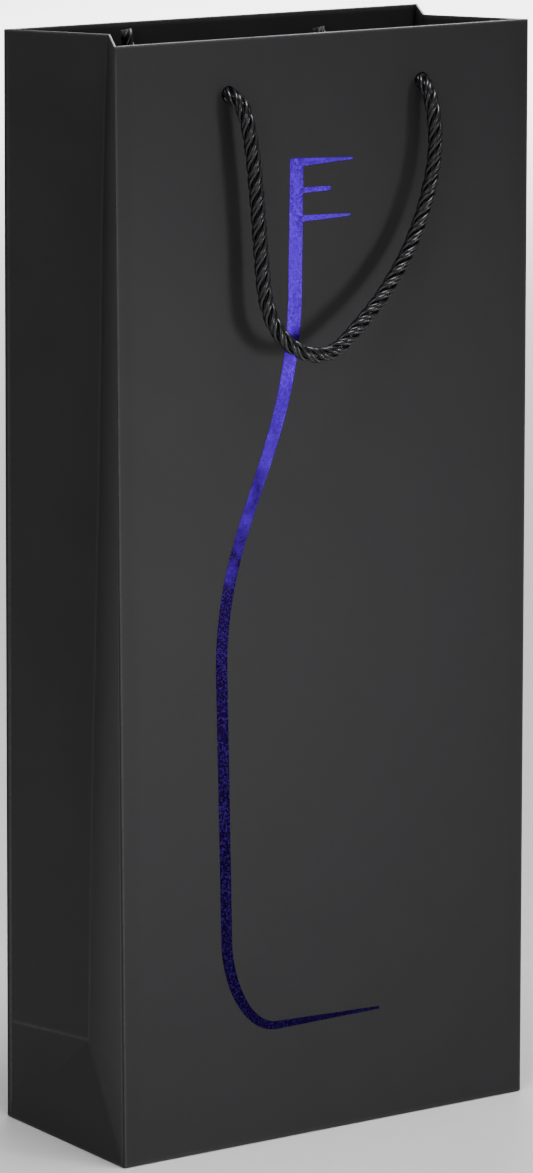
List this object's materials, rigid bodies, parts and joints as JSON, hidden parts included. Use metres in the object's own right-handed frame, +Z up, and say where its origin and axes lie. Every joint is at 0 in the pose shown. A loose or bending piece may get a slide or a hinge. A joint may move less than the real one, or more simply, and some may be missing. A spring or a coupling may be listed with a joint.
{
  "type": "wine gift bag",
  "caption": "Tall paper carrier bag with folded gussets, a square bottom, a stiffened mouth, knotted rope handles and a foil bottle outline.",
  "frame": {"origin": "on the floor, under the middle of the bag", "axes": "+Z up, -Y towards the decorated front, +X to the right seen from the front"},
  "size_m": [0.176, 0.1098, 0.4],
  "materials": {
    "paper": "matt laminated",
    "greyboard": "matt",
    "rope": "satin twisted cord",
    "foil": "metallic hot foil"
  },
  "bodies": {
    "base_and_gussets": {"back_base_flap": "paper", "base_board": "greyboard", "front_base_flap": "paper", "left_base_flap": "paper", "left_gusset_back": "paper", "left_gusset_back_corner": "paper", "left_gusset_foot": "paper", "left_gusset_front": "paper", "left_gusset_front_corner": "paper", "left_hem_back": "paper", "left_hem_front": "paper", "right_base_flap": "paper", "right_gusset_back": "paper", "right_gusset_back_corner": "paper", "right_gusset_foot": "paper", "right_gusset_front": "paper", "right_gusset_front_corner": "paper", "right_hem_back": "paper", "right_hem_front": "paper"},
    "front_wall": {"foil_bottle_outline": "foil", "front_hem": "paper", "front_left_knot": "rope", "front_mouth_card": "greyboard", "front_panel": "paper", "front_right_knot": "rope"},
    "back_wall": {"back_hem": "paper", "back_left_knot": "rope", "back_mouth_card": "greyboard", "back_panel": "paper", "back_right_knot": "rope", "side_glue_tab": "paper"},
    "front_handle": {"front_handle_cord": "rope"},
    "back_handle": {"back_handle_cord": "rope"}
  },
  "joints": [
    {"name": "front_wall_lean", "type": "hinge", "parent": "base_and_gussets", "child": "front_wall", "pos_m": [0, -0.04, 0], "axis": [-1, 0, 0], "range_deg": [-0.6, 2.6], "stiffness_Nm_per_rad": 0.4, "deforming": ["left_gusset_front", "left_gusset_front_corner", "left_hem_front", "right_gusset_front", "right_gusset_front_corner", "right_hem_front"]},
    {"name": "back_wall_lean", "type": "hinge", "parent": "base_and_gussets", "child": "back_wall", "pos_m": [0, 0.04, 0], "axis": [1, 0, 0], "range_deg": [-0.6, 2.6], "stiffness_Nm_per_rad": 0.4, "deforming": ["left_gusset_back", "left_gusset_back_corner", "left_hem_back", "right_gusset_back", "right_gusset_back_corner", "right_hem_back"]},
    {"name": "front_handle_swing", "type": "hinge", "parent": "front_wall", "child": "front_handle", "pos_m": [0, -0.04359, 0.382], "axis": [-1, 0, 0], "range_deg": [0, 175]},
    {"name": "back_handle_swing", "type": "hinge", "parent": "back_wall", "child": "back_handle", "pos_m": [0, 0.03882, 0.382], "axis": [1, 0, 0], "range_deg": [0, 175]}
  ]
}
